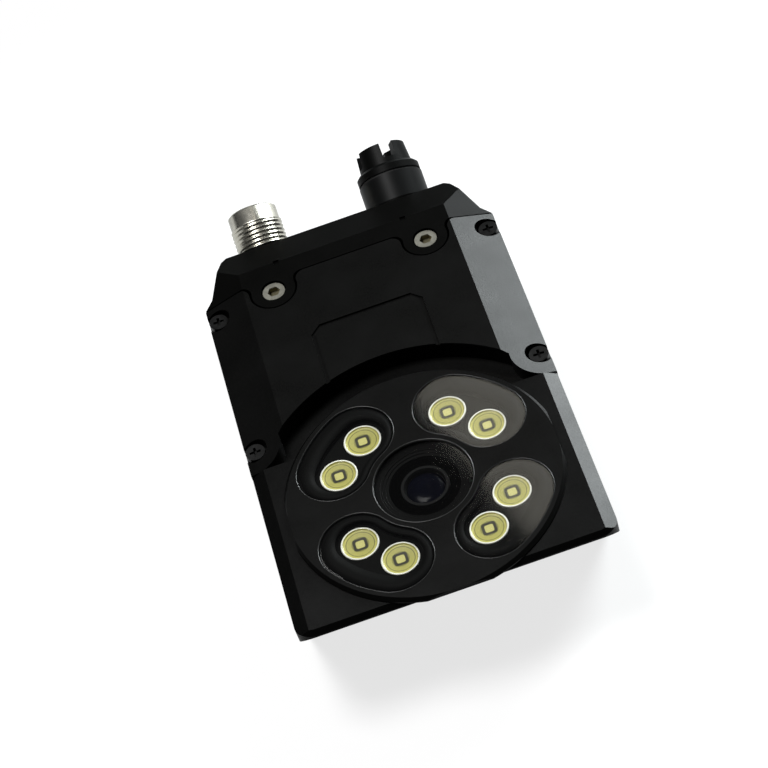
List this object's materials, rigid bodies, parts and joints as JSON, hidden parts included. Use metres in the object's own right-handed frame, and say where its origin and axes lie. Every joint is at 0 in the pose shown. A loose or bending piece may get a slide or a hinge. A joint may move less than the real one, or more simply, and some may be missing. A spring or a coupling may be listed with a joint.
{
  "type": "machine vision camera",
  "caption": "Compact smart camera with a round bezel, four kidney-shaped light windows round the lens, a screwed cover and two round connectors on its end.",
  "frame": {"origin": "centre of the four mounting holes, on the flat rear face", "axes": "+Z along the optical axis out of the lens, +Y from the lens to the connectors, +X to the right seen from the front with the connectors up"},
  "size_m": [0.0668, 0.1296, 0.0289],
  "materials": {
    "cast_black": "satin",
    "bezel_black": "satin",
    "window_glass": "gloss",
    "lens_glass": "gloss",
    "holder_black": "matte",
    "collimator_clear": "gloss",
    "phosphor_yellow": "matte",
    "board_green": "satin",
    "barrel_black": "satin",
    "chip_black": "satin",
    "pillar_brass": "satin",
    "pad_grey": "matte",
    "nickel": "satin",
    "contact_gold": "gloss",
    "collar_black": "satin",
    "cap_black": "satin",
    "seal_rubber": "matte",
    "screw_black": "satin",
    "screw_steel": "satin"
  },
  "bodies": {
    "camera": {"housing": "cast_black", "upper_cover": "cast_black", "connector_block": "cast_black", "bezel": "bezel_black", "light_windows": "window_glass", "lens_window": "lens_glass", "light_holder": "holder_black", "collimators": "collimator_clear", "light_emitters": "phosphor_yellow", "light_board": "board_green", "lens_barrel": "barrel_black", "front_lens": "lens_glass", "rear_lens": "lens_glass", "lens_holder": "holder_black", "sensor_board": "board_green", "image_sensor": "chip_black", "board_pillars": "pillar_brass", "main_board": "board_green", "processor": "chip_black", "thermal_pad": "pad_grey", "power_shell": "nickel", "power_insert": "holder_black", "power_pins": "contact_gold", "network_collar": "collar_black", "network_insert": "holder_black", "network_contacts": "contact_gold", "block_gasket": "seal_rubber", "cover_screws": "screw_black", "block_screws": "screw_steel"},
    "seal_ring": {"cap_seal": "seal_rubber"},
    "cap": {"dust_cap": "cap_black"}
  },
  "joints": [
    {"name": "cap_lift", "type": "slide", "parent": "camera", "child": "seal_ring", "axis": [0, 0.866, 0.5], "range_m": [0, 0.006]},
    {"name": "cap_turn", "type": "hinge", "parent": "seal_ring", "child": "cap", "pos_m": [0.01505, 0.06358, 0.02055], "axis": [0, 0.866, 0.5], "range_deg": [0, 2160]}
  ],
  "couplings": [
    {"joint": "cap_turn", "follows": "cap_lift", "rad_per_m": 6283.2}
  ]
}
